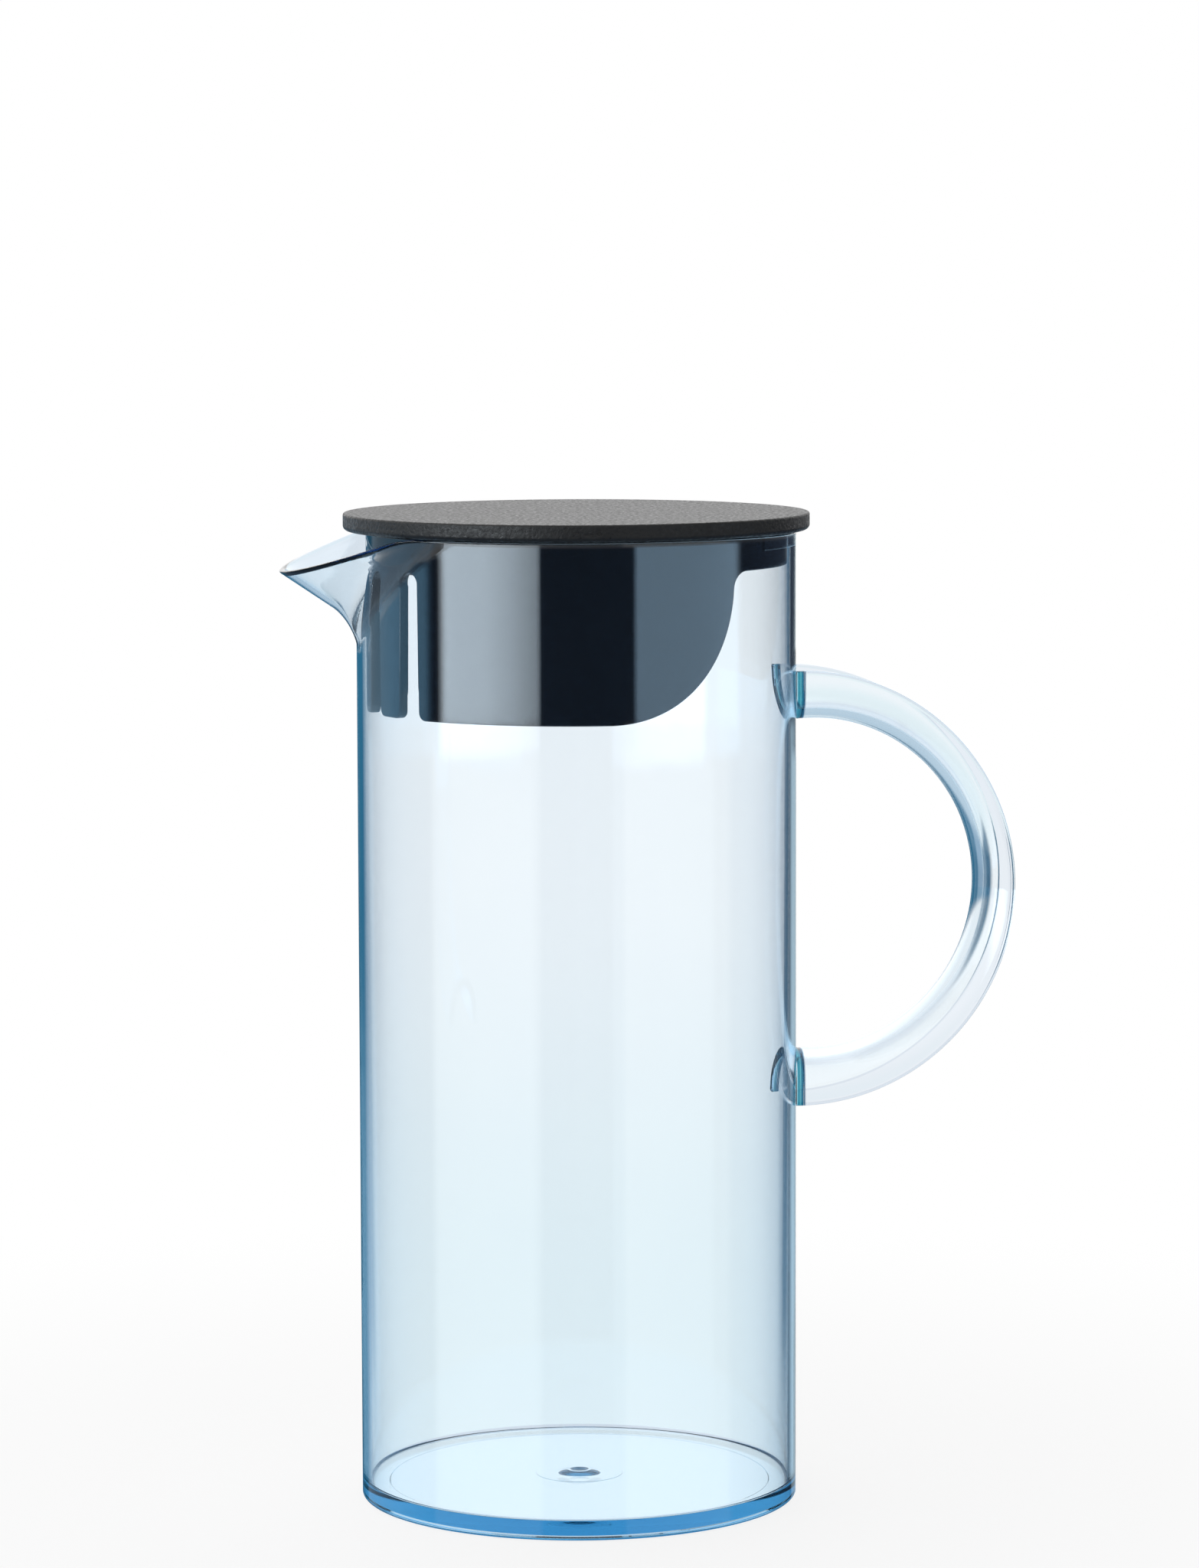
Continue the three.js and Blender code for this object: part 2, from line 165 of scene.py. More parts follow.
# Lid plate
PLATE_RADIUS = plate_high.y
PLATE_STEPS = 192
PLATE_TOP = plate_high.z
PLATE_TOP_ROUND = 0.5 * MM
PLATE_TOP_STEPS = 6
PLATE_SKIN = 2.4 * MM
SEAT_GAP = 0.3 * MM
PLATE_UNDERSIDE = RIM_HEIGHT + SEAT_GAP
PLATE_UNDER_ROUND = 1.2 * MM
PLATE_UNDER_STEPS = 8
SPIGOT_CLEARANCE = 0.3 * MM
SPIGOT_RADIUS = RING_RADIUS - RING_WALL - SPIGOT_CLEARANCE
SPIGOT_WALL = 1.8 * MM
SPIGOT_END = plate_low.z


# Shaping


def arc(centre, radius, start, end, steps):
    """Points of a round stretch, both ends included, from start to end in degrees."""
    turns = [math.radians(start + (end - start) * i / steps) for i in range(steps + 1)]
    return [(centre[0] + radius * math.cos(t), centre[1] + radius * math.sin(t)) for t in turns]


def profile_edges(bm, points, closed):
    """A chain of edges through (distance, height) points in the plane of X and Z."""
    verts = [bm.verts.new((distance, 0, height)) for distance, height in points]
    pairs = list(zip(verts, verts[1:]))
    if closed:
        pairs.append((verts[-1], verts[0]))
    return verts + [bm.edges.new(pair) for pair in pairs]


def spun_all_round(bm, geom, centre, axis, steps):
    bmesh.ops.spin(
        bm, geom=geom, cent=centre, axis=axis, angle=math.tau, steps=steps, use_merge=True
    )
    close_up(bm, TINY)


def close_up(bm, distance):
    """Merges seams and poles, then turns every face outwards."""
    bmesh.ops.remove_doubles(bm, verts=bm.verts[:], dist=distance)
    bmesh.ops.dissolve_degenerate(bm, dist=TINY, edges=bm.edges[:])
    bmesh.ops.recalc_face_normals(bm, faces=bm.faces[:])


def bow(bm, radius, way):
    """Pushes a shape along X, so that a face round the barrel's axis turns flat or back again."""
    for vert in bm.verts:
        vert.co.x += way * (radius - math.sqrt(radius**2 - vert.co.y**2))


def keep_side(bm, radius, side):
    """Cuts round the barrel's axis, keeps the far side for 1 or the near for -1, closes the cut."""
    bow(bm, radius, 1)
    geom = bm.verts[:] + bm.edges[:] + bm.faces[:]
    bmesh.ops.bisect_plane(
        bm, geom=geom, dist=TINY, plane_co=(radius, 0, 0), plane_no=(-side, 0, 0), clear_outer=True
    )
    fill_holes(bm)
    bow(bm, radius, -1)


def fill_holes(bm):
    rim = [edge for edge in bm.edges if edge.is_boundary]
    bmesh.ops.holes_fill(bm, edges=rim, sides=0)
    bmesh.ops.recalc_face_normals(bm, faces=bm.faces[:])


def soften(bm, width, segments):
    """Rounds every corner edge of a closed shape."""
    corners = [e for e in bm.edges if e.is_manifold and e.calc_face_angle() > CORNER_ANGLE]
    bmesh.ops.bevel(
        bm, geom=corners, offset=width, offset_type="OFFSET", segments=segments, profile=0.5,
        affect="EDGES", clamp_overlap=False, material=-1
    )


def bare_object(bm, name):
    mesh = bpy.data.meshes.new(name)
    bm.to_mesh(mesh)
    bm.free()
    made = bpy.data.objects.new(name, mesh)
    bpy.context.scene.collection.objects.link(made)
    return made


def united(base, additions):
    """Joins closed shapes into the base's mesh and removes the added objects."""
    for addition in additions:
        join = base.modifiers.new(addition.name, "BOOLEAN")
        join.operation = "UNION"
        join.solver = "EXACT"
        join.object = addition
    bpy.context.view_layer.update()
    graph = bpy.context.evaluated_depsgraph_get()
    joined = bpy.data.meshes.new_from_object(base.evaluated_get(graph))
    base.modifiers.clear()
    base.data = joined
    joined.name = base.name
    for addition in additions:
        bpy.data.objects.remove(addition)


def finished(made, material, node, body):
    """Smooth shading with crisp corners, and the piece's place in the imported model."""
    mesh = made.data
    mesh.materials.clear()
    mesh.materials.append(material)
    mesh.polygons.foreach_set("use_smooth", [True] * len(mesh.polygons))
    mesh.set_sharp_from_angle(angle=SHARP_ANGLE)
    weights = made.modifiers.new("Normals", "WEIGHTED_NORMAL")
    weights.keep_sharp = True
    weights.weight = NORMAL_WEIGHT
    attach(made, body)
    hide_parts(node)


# Barrel with its spout


def filleted(first, second, size):
    """Two distances from surfaces, joined with a round fillet."""
    inside = math.hypot(max(size - first, 0), max(size - second, 0))
    return max(size, min(first, second)) - inside


def wall_reach(angle, height, inset):
    """Distance from the axis to the wall's face at an angle from the spout, inset into the wall."""
    cone_radius = (height - CONE_POINT_HEIGHT) / math.tan(KEEL)
    along, across = math.cos(angle), math.sin(angle)
    near = BARREL_RADIUS - inset - TINY
    far = SEARCH_REACH
    for _ in range(HALVINGS):
        middle = (near + far) / 2
        from_cone = math.hypot(middle * along - BARREL_RADIUS, middle * across) - cone_radius
        to_cone = from_cone * math.sin(KEEL) + inset
        if filleted(middle - BARREL_RADIUS + inset, to_cone, SPOUT_BLEND + inset) < 0:
            near = middle
        else:
            far = middle
    return near


def lip_height(forward):
    """Height of the rim's top at a distance towards the spout: level, a bend, then the slope."""
    if forward < LIP_BEND_START:
        return RIM_HEIGHT
    if forward < LIP_BEND_END:
        drop = LIP_ROUND - math.sqrt(LIP_ROUND**2 - (forward - LIP_BEND_START) ** 2)
        return RIM_HEIGHT - drop
    return LIP_TIP_HEIGHT - (forward - SPOUT_REACH) * math.tan(LIP_SLOPE)


def wall_top(angle, inset):
    """Height at which the wall's face meets the lip."""
    low, high = SPOUT_ROOT_HEIGHT, RIM_HEIGHT
    for _ in range(HALVINGS):
        middle = (low + high) / 2
        if middle < lip_height(wall_reach(angle, middle, inset) * math.cos(angle)):
            low = middle
        else:
            high = middle
    return high


def draw_out_spout(bm):
    """Crowds the barrel's steps at the spout and moves its upper wall onto the spout's form."""
    tops = {}
    for vert in bm.verts:
        radius = math.hypot(vert.co.x, vert.co.y)
        if radius < TINY:
            continue
        even = math.atan2(vert.co.y, -vert.co.x)
        angle = even - SPOUT_CROWDING * math.sin(even)
        height = vert.co.z
        if height > SPOUT_ROOT_HEIGHT - TINY and abs(angle) < SPOUT_HALF_ANGLE:
            inset = BARREL_RADIUS - radius
            key = (round(angle, SAME_ANGLE_DIGITS), round(inset, SAME_INSET_DIGITS))
            if key not in tops:
                tops[key] = wall_top(angle, inset)
            top = tops[key]
            if height > STRAIGHT_TOP:
                height = top - (RIM_HEIGHT - height)
            else:
                share = (height - SPOUT_ROOT_HEIGHT) / (STRAIGHT_TOP - SPOUT_ROOT_HEIGHT)
                height = SPOUT_ROOT_HEIGHT + share * (top - RIM_ROUND - SPOUT_ROOT_HEIGHT)
            radius = wall_reach(angle, height, inset)
        vert.co = (-radius * math.cos(angle), radius * math.sin(angle), height)


def levels(radius, low, high, count):
    """Points up or down a straight wall."""
    return [(radius, low + (high - low) * i / count) for i in range(count + 1)]


def dome(radius, height, base):
    """Points of a shallow dome from its foot up to the axis."""
    curve = (radius**2 + height**2) / (2 * height)
    span = math.degrees(math.asin(radius / curve))
    return arc((0, base + height - curve), curve, 90 - span, 90, GATE_DOME_STEPS)


def gate_mark(base):
    """Low dome in the middle of the floor, with a crater on top where the sprue broke off."""
    hill = dome(GATE_DOME_RADIUS, GATE_DOME_HEIGHT, base)
    slope = [point for point in hill if point[0] > GATE_CRATER_RADIUS]
    brim = slope[-1][1]
    crater = []
    for share in GATE_CRATER_SHARES:
        sunk = GATE_CRATER_DEPTH * (1 - share**2)
        crater.append((GATE_CRATER_RADIUS * share, brim - sunk))
    return [(GATE_DOME_RADIUS + GATE_MARGIN, base)] + slope + crater


def make_barrel():
    """Spins the section from underside over rim to gate, draws the spout, adds stubs and pad."""
    foot = (BARREL_RADIUS - FOOT_ROUND, FOOT_ROUND)
    corner = (BARREL_RADIUS - FOOT_WALL - INNER_CORNER, JUG_FLOOR + INNER_CORNER)
    outside = [
        (0, FOOT_RECESS),
        (FOOT_RING_RADIUS - FOOT_RECESS, FOOT_RECESS),
        (FOOT_RING_RADIUS, 0),
    ]
    outside += arc(foot, FOOT_ROUND, -90, 0, FOOT_STEPS)
    outside += levels(BARREL_RADIUS, SPOUT_ROOT_HEIGHT, STRAIGHT_TOP, SPOUT_LEVELS)
    rim = arc((BARREL_RADIUS - RIM_ROUND, STRAIGHT_TOP), RIM_ROUND, 0, 90, RIM_STEPS)[1:]
    rim += arc((INNER_RADIUS + RIM_ROUND, STRAIGHT_TOP), RIM_ROUND, 90, 180, RIM_STEPS)
    inside = levels(INNER_RADIUS, STRAIGHT_TOP, SPOUT_ROOT_HEIGHT, SPOUT_LEVELS)[1:]
    inside += [(INNER_RADIUS, RING_BOTTOM - TAPER_DROP)]
    inside += arc(corner, INNER_CORNER, 0, -90, INNER_CORNER_STEPS)
    inside += [
        (GATE_CIRCLE_RADIUS + GATE_CIRCLE_STEP, JUG_FLOOR),
        (GATE_CIRCLE_RADIUS, JUG_FLOOR + GATE_CIRCLE_STEP),
    ]
    inside += gate_mark(JUG_FLOOR + GATE_CIRCLE_STEP)
    bm = bmesh.new()
    geom = profile_edges(bm, outside + rim + inside, closed=False)
    spun_all_round(bm, geom, (0, 0, 0), ABOUT_Z, BARREL_STEPS)
    draw_out_spout(bm)
    barrel = bare_object(bm, "clear_barrel")
    united(barrel, [make_stubs(), make_pad()])
    return barrel


# Handle, with the stubs and the pad that are moulded on the barrel


def channel_ring(bm):
    """The handle's channel all round its ring, with its open edges rounded."""
    outer_arc = arc((0, 0), 1, -90, 90, CHANNEL_STEPS)
    inner_half_width = HANDLE_HALF_WIDTH - HANDLE_WALL
    section = [
        (HANDLE_RIM_RADIUS - x * HANDLE_ROOT_DEPTH, y * HANDLE_HALF_WIDTH) for x, y in outer_arc
    ]
    section += [
        (HANDLE_RIM_RADIUS - x * CHANNEL_INNER_DEPTH, y * inner_half_width)
        for x, y in outer_arc[::-1]
    ]
    geom = profile_edges(bm, section, closed=True)
    stand_up = Matrix.Translation(HANDLE_CENTRE) @ Matrix.Rotation(-math.pi / 2, 4, "X")
    bmesh.ops.transform(bm, matrix=stand_up, verts=bm.verts[:])
    spun_all_round(bm, geom, HANDLE_CENTRE, ABOUT_Y, HANDLE_STEPS)
    taper_channel(bm)
    soften(bm, HANDLE_RIM_EDGE, HANDLE_EDGE_STEPS)


def taper_channel(bm):
    """Lifts the channel's bottom from its depth at the roots to that of a smaller, outer circle."""
    for vert in bm.verts:
        out = vert.co - HANDLE_CENTRE
        ring = math.hypot(out.x, out.z)
        along, across = out.x / ring, out.z / ring
        aside = (CHANNEL_SHIFT * across) ** 2
        bottom = CHANNEL_SHIFT * along + math.sqrt(CHANNEL_RADIUS**2 - aside)
        inwards = HANDLE_RIM_RADIUS - ring
        outer_share = math.sqrt(max(0, 1 - (out.y / HANDLE_HALF_WIDTH) ** 2))
        share = min(outer_share, inwards / CHANNEL_INNER_DEPTH)
        ring += (bottom - CHANNEL_ROOT) * share
        vert.co.x = HANDLE_CENTRE.x + ring * along
        vert.co.z = HANDLE_CENTRE.z + ring * across


def make_stubs():
    """The two channel ends moulded on the barrel, rooted inside its wall."""
    bm = bmesh.new()
    channel_ring(bm)
    keep_side(bm, MID_WALL_RADIUS, 1)
    keep_side(bm, STUB_FACE, -1)
    return bare_object(bm, "stubs")


def make_pad():
    """Low pad on the wall's inner face that holds the strainer down."""
    face = INNER_RADIUS - PAD_PROUD
    top = RIM_HEIGHT - PAD_TOP_DROP
    bottom = RIM_HEIGHT - PAD_HEIGHT
    section = [(face, bottom), (MID_WALL_RADIUS, bottom), (MID_WALL_RADIUS, top), (face, top)]
    bm = bmesh.new()
    geom = profile_edges(bm, section, closed=True)
    start = Matrix.Rotation(-PAD_HALF_ANGLE, 4, "Z")
    bmesh.ops.transform(bm, matrix=start, verts=bm.verts[:])
    bmesh.ops.spin(
        bm, geom=geom, cent=(0, 0, 0), axis=ABOUT_Z, angle=2 * PAD_HALF_ANGLE, steps=PAD_STEPS
    )
    fill_holes(bm)
    return bare_object(bm, "pad")


def make_handle():
    bm = bmesh.new()
    channel_ring(bm)
    keep_side(bm, STUB_FACE + GLUE_LINE, 1)
    return bare_object(bm, "channel_handle")


# Strainer ring, drawn unrolled as (angle from the window's middle, height)


def beside_window():
    """Lower edge of the ring from the window's middle to the foot of its big rounded corner."""
    direction = WINDOW_HALF_ANGLE + math.asin(WINDOW_CORNER / (2 * RING_RADIUS))
    toe = -WINDOW_CORNER / 2
    corner_height = RING_BOTTOM + WINDOW_CORNER
    band_bottom = RING_TOP - BAND_HEIGHT
    fillet_height = band_bottom - WINDOW_FILLET
    corner_end = math.degrees(math.asin(min(0, (fillet_height - corner_height) / WINDOW_CORNER)))
    upright = toe + WINDOW_CORNER * math.cos(math.radians(corner_end))
    fillet = (upright + WINDOW_FILLET, fillet_height)
    edge = arc(fillet, WINDOW_FILLET, 90, 180, WINDOW_FILLET_STEPS)
    edge += arc((toe, corner_height), WINDOW_CORNER, corner_end, -90, WINDOW_CORNER_STEPS)
    bent = [(direction - math.asin(side / RING_RADIUS), height) for side, height in edge]
    return [(0, band_bottom)] + bent


def round_slit(index):
    """Edge of one slit, up its near side, round its top and down its far side."""
    top = RING_TOP - SLIT_TOP_DROP - SLIT_TOP_HALF_WIDTH
    corner_side = SLIT_FOOT_HALF_WIDTH + FINGER_CORNER
    corner_height = RING_BOTTOM + FINGER_CORNER
    edge = arc((-corner_side, corner_height), FINGER_CORNER, -90, 0, FINGER_CORNER_STEPS)
    edge += arc((0, top), SLIT_TOP_HALF_WIDTH, 180, 0, SLIT_TOP_STEPS)
    edge += arc((corner_side, corner_height), FINGER_CORNER, 180, 270, FINGER_CORNER_STEPS)
    turn = math.pi + (index - (SLIT_COUNT - 1) / 2) * SLIT_PITCH
    return [(turn + math.asin(side / RING_RADIUS), height) for side, height in edge]


def make_strainer():
    """Cuts the unrolled outline into strips, rolls it up and gives it its wall."""
    near_half = beside_window()
    far_half = [(math.tau - angle, height) for angle, height in near_half[::-1]]
    outline = list(near_half)
    for index in range(SLIT_COUNT):
        outline += round_slit(index)
    outline += far_half + [(math.tau, RING_TOP), (0, RING_TOP)]
    bm = bmesh.new()
    bm.faces.new([bm.verts.new((angle, 0, height)) for angle, height in outline])
    for strip in range(1, RING_STRIPS):
        geom = bm.verts[:] + bm.edges[:] + bm.faces[:]
        across = (math.tau * strip / RING_STRIPS, 0, 0)
        bmesh.ops.bisect_plane(bm, geom=geom, dist=TINY, plane_co=across, plane_no=(1, 0, 0))
    for vert in bm.verts:
        angle = vert.co.x + RING_TURN
        vert.co.x = RING_RADIUS * math.cos(angle)
        vert.co.y = RING_RADIUS * math.sin(angle)
    close_up(bm, SAME_POINT)
    largest = max(bm.faces, key=lambda face: face.calc_area())
    outwards = largest.calc_center_median() * Vector((1, 1, 0))
    if largest.normal.dot(outwards) < 0:
        bmesh.ops.reverse_faces(bm, faces=bm.faces[:])
    bmesh.ops.solidify(bm, geom=bm.faces[:], thickness=RING_WALL)
    soften(bm, RING_EDGE, RING_EDGE_STEPS)
    return bare_object(bm, "gloss_strainer")


# Lid plate


def make_plate():
    """Spins the disc's section with the spigot under it."""
    ceiling = PLATE_TOP - PLATE_SKIN
    spigot_bore = SPIGOT_RADIUS - SPIGOT_WALL
    under = (PLATE_RADIUS - PLATE_UNDER_ROUND, PLATE_UNDERSIDE + PLATE_UNDER_ROUND)
    upper = (PLATE_RADIUS - PLATE_TOP_ROUND, PLATE_TOP - PLATE_TOP_ROUND)
    points = [(0, ceiling), (spigot_bore, ceiling), (spigot_bore, SPIGOT_END)]
    points += [(SPIGOT_RADIUS, SPIGOT_END), (SPIGOT_RADIUS, PLATE_UNDERSIDE)]
    points += arc(under, PLATE_UNDER_ROUND, -90, 0, PLATE_UNDER_STEPS)
    points += arc(upper, PLATE_TOP_ROUND, 0, 90, PLATE_TOP_STEPS)
    points += [(0, PLATE_TOP)]
    bm = bmesh.new()
    geom = profile_edges(bm, points, closed=False)
    spun_all_round(bm, geom, (0, 0, 0), ABOUT_Z, PLATE_STEPS)
    return bare_object(bm, "matt_lid_plate")


# Finishes: tints are two colours that a cloudy pattern mixes, patterns are (scale, detail), a
# roughness is a range over a pattern, and bumps are (strength, depth)
WHITE = (1.0, 1.0, 1.0)
BLACK = (0.0, 0.0, 0.0)
PLASTIC_IOR = 1.55
BARREL_TINTS = ((0.936, 0.963, 0.9965), (0.942, 0.968, 0.999))
HANDLE_TINTS = ((0.955, 0.962, 0.982), (0.96, 0.967, 0.985))
CLEAR_FLOW = (45, 2)
CLEAR_POLISH = (300, 2)
CLEAR_ROUGHNESS = (0.0, 0.012)
CLEAR_BUMP = (0.25, 0.04 * MM)
CLEAR_DEPTH_COLOUR = (0.0, 0.58, 0.79)
CLEAR_DEPTH_DENSITY = 24.3
LID_TINTS = ((0.009, 0.009, 0.0092), (0.013, 0.013, 0.0132))
LID_CLOUD = (60, 3)
LID_GRAIN = (1200, 3)
LID_ROUGHNESS = (0.26, 0.6)
LID_BUMP = (0.7, 0.2 * MM)
STRAINER_TINTS = ((0.005, 0.0085, 0.014), (0.007, 0.0115, 0.019))
STRAINER_FLOW = (60, 2)
STRAINER_POLISH = (700, 3)
STRAINER_ROUGHNESS = (0.02, 0.05)
STRAINER_BUMP = (0.3, 0.05 * MM)

# Middle part of a cloudy pattern, over which a number or a colour changes
NUMBER_SPAN = (0.3, 0.7)
TINT_SPAN = (0.35, 0.65)

# Deeper blue of the drawn-out spout, reached this far past the barrel's surface
SPOUT_TINT = (0.9, 0.935, 0.96)
SPOUT_TINT_REACH = 3 * MM

# Teal of the bonded joints, as (distance past the barrel's surface, tint)
BOND_REACH = 3.2 * MM
BOND_TINTS = [
    (0, WHITE),
    (0.1 * MM, WHITE),
    (0.3 * MM, (0.05, 0.32, 0.42)),
    (0.8 * MM, (0.04, 0.3, 0.38)),
    (1.0 * MM, (0.2, 0.55, 0.6)),
    (1.2 * MM, (0.03, 0.22, 0.32)),
    (1.9 * MM, (0.01, 0.08, 0.17)),
    (2.3 * MM, WHITE),
]

# Sockets of a Mix node that mixes colours
MIX_SHARE, MIX_FIRST, MIX_SECOND = 0, 6, 7
MIX_RESULT = 2


def bare_material(name):
    """A new material that has only its output node."""
    material = bpy.data.materials.new(name)
    material.use_nodes = True
    tree = material.node_tree
    tree.nodes.clear()
    return material, tree, tree.nodes.new("ShaderNodeOutputMaterial")


def plastic_material(name):
    material, tree, output = bare_material(name)
    shader = tree.nodes.new("ShaderNodeBsdfPrincipled")
    tree.links.new(shader.outputs[0], output.inputs["Surface"])
    return material, tree, shader, output


def noise(tree, scale, detail):
    """Cloudy pattern on the piece's own coordinates, in metres."""
    place = tree.nodes.new("ShaderNodeTexCoord")
    pattern = tree.nodes.new("ShaderNodeTexNoise")
    pattern.inputs["Scale"].default_value = scale
    pattern.inputs["Detail"].default_value = detail
    tree.links.new(place.outputs["Object"], pattern.inputs["Vector"])
    return pattern.outputs["Fac"]


def mapped(tree, value, span, target=(0.0, 1.0), way="LINEAR"):
    """Maps a span of numbers to a target span and holds it at its ends."""
    ranged = tree.nodes.new("ShaderNodeMapRange")
    ranged.interpolation_type = way
    limits = ("From Min", "From Max", "To Min", "To Max")
    for limit, number in zip(limits, (*span, *target)):
        ranged.inputs[limit].default_value = number
    tree.links.new(value, ranged.inputs["Value"])
    return ranged.outputs["Result"]


def fade(tree, value, span):
    """Smooth step from 0 at the span's start to 1 at its end."""
    return mapped(tree, value, span, way="SMOOTHSTEP")


def colour_band(tree, share, stops):
    """Colours through (position from 0 to 1, colour) stops."""
    ramp = tree.nodes.new("ShaderNodeValToRGB")
    elements = ramp.color_ramp.elements
    while len(elements) < len(stops):
        elements.new(0.5)
    for element, (position, _) in zip(elements, stops):
        element.position = position
    for element, (_, colour) in zip(elements, stops):
        element.color = (*colour, 1)
    tree.links.new(share, ramp.inputs["Fac"])
    return ramp.outputs["Color"]


def joined_sides(tree, sockets, sides):
    """Gives each socket its side: another node's output, a colour or a number."""
    for socket, side in zip(sockets, sides):
        if isinstance(side, bpy.types.NodeSocket):
            tree.links.new(side, socket)
        elif isinstance(side, tuple):
            socket.default_value = (*side, 1)
        else:
            socket.default_value = side


def maths(tree, operation, *sides):
    step = tree.nodes.new("ShaderNodeMath")
    step.operation = operation
    joined_sides(tree, step.inputs, sides)
    return step.outputs[0]


def blend(tree, share, first, second, way="MIX"):
    """Mixes two colours."""
    mix = tree.nodes.new("ShaderNodeMix")
    mix.data_type = "RGBA"
    mix.blend_type = way
    mix.clamp_factor = False
    sockets = [mix.inputs[place] for place in (MIX_SHARE, MIX_FIRST, MIX_SECOND)]
    joined_sides(tree, sockets, (share, first, second))
    return mix.outputs[MIX_RESULT]


def bumped(tree, value, strength, distance):
    bump = tree.nodes.new("ShaderNodeBump")
    bump.inputs["Strength"].default_value = strength
    bump.inputs["Distance"].default_value = distance
    tree.links.new(value, bump.inputs["Height"])
    return bump.outputs["Normal"]


def two_tone(tree, pattern, tints):
    return colour_band(tree, pattern, list(zip(TINT_SPAN, tints)))


def place_tint(tree):
    """Teal of the bonded joints on the handle's side and a deeper blue on the spout's."""
    place = tree.nodes.new("ShaderNodeTexCoord")
    parts = tree.nodes.new("ShaderNodeSeparateXYZ")
    tree.links.new(place.outputs["Object"], parts.inputs[0])
    forward, sideways = parts.outputs["X"], parts.outputs["Y"]
    squares = [maths(tree, "MULTIPLY", part, part) for part in (forward, sideways)]
    reach = maths(tree, "SQRT", maths(tree, "ADD", *squares))
    past_wall = mapped(tree, reach, (BARREL_RADIUS, BARREL_RADIUS + BOND_REACH))
    bond = colour_band(tree, past_wall, [(far / BOND_REACH, tint) for far, tint in BOND_TINTS])
    in_spout = fade(tree, reach, (BARREL_RADIUS, BARREL_RADIUS + SPOUT_TINT_REACH))
    spout = blend(tree, in_spout, WHITE, SPOUT_TINT)
    return blend(tree, maths(tree, "GREATER_THAN", forward, 0.0), spout, bond)


def clear_plastic(name, tints):
    """Polished clear moulding: light blue where the light's way through it is long."""
    material, tree, shader, output = plastic_material(name)
    flow = noise(tree, *CLEAR_FLOW)
    polish = mapped(tree, noise(tree, *CLEAR_POLISH), NUMBER_SPAN, CLEAR_ROUGHNESS)
    tint = blend(tree, 1.0, two_tone(tree, flow, tints), place_tint(tree), "MULTIPLY")
    tree.links.new(tint, shader.inputs["Base Color"])
    tree.links.new(polish, shader.inputs["Roughness"])
    tree.links.new(bumped(tree, flow, *CLEAR_BUMP), shader.inputs["Normal"])
    shader.inputs["IOR"].default_value = PLASTIC_IOR
    shader.inputs["Transmission Weight"].default_value = 1.0
    depth = tree.nodes.new("ShaderNodeVolumeAbsorption")
    depth.inputs["Color"].default_value = (*CLEAR_DEPTH_COLOUR, 1)
    depth.inputs["Density"].default_value = CLEAR_DEPTH_DENSITY
    tree.links.new(depth.outputs[0], output.inputs["Volume"])
    return material


def matt_black_plastic():
    """Spark-textured black moulding with a fine even grain."""
    material, tree, shader, _ = plastic_material("matt_black_plastic")
    grain = noise(tree, *LID_GRAIN)
    tint = two_tone(tree, noise(tree, *LID_CLOUD), LID_TINTS)
    tree.links.new(tint, shader.inputs["Base Color"])
    roughness = mapped(tree, grain, NUMBER_SPAN, LID_ROUGHNESS)
    tree.links.new(roughness, shader.inputs["Roughness"])
    tree.links.new(bumped(tree, grain, *LID_BUMP), shader.inputs["Normal"])
    return material


def gloss_black_plastic():
    """Polished black moulding with faint flow waves."""
    material, tree, shader, _ = plastic_material("gloss_black_plastic")
    flow = noise(tree, *STRAINER_FLOW)
    polish = mapped(tree, noise(tree, *STRAINER_POLISH), NUMBER_SPAN, STRAINER_ROUGHNESS)
    tree.links.new(two_tone(tree, flow, STRAINER_TINTS), shader.inputs["Base Color"])
    tree.links.new(polish, shader.inputs["Roughness"])
    tree.links.new(bumped(tree, flow, *STRAINER_BUMP), shader.inputs["Normal"])
    shader.inputs["IOR"].default_value = PLASTIC_IOR
    return material


barrel_plastic = clear_plastic("clear_blue_plastic", BARREL_TINTS)
handle_plastic = clear_plastic("clear_handle_plastic", HANDLE_TINTS)
finished(make_barrel(), barrel_plastic, "jug_barrel", "jug")
finished(make_handle(), handle_plastic, "handle", "jug")
finished(make_plate(), matt_black_plastic(), "lid_plate", "lid")
finished(make_strainer(), gloss_black_plastic(), "strainer_ring", "strainer")

# Floor of the studio
FLOOR_RADIUS = 0.42
FLOOR_STEPS = 96
FLOOR_DROP = 0.3 * MM
FLOOR_COLOUR = (0.9, 0.9, 0.9)
FLOOR_WHITE = 0.85  # share of plain white in what the camera sees of the floor near the jug
FLOOR_FADE = (0.1, 0.9 * FLOOR_RADIUS)


def mixed_shaders(tree, share, first, second):
    mix = tree.nodes.new("ShaderNodeMixShader")
    joined_sides(tree, mix.inputs, (share, first, second))
    return mix.outputs[0]


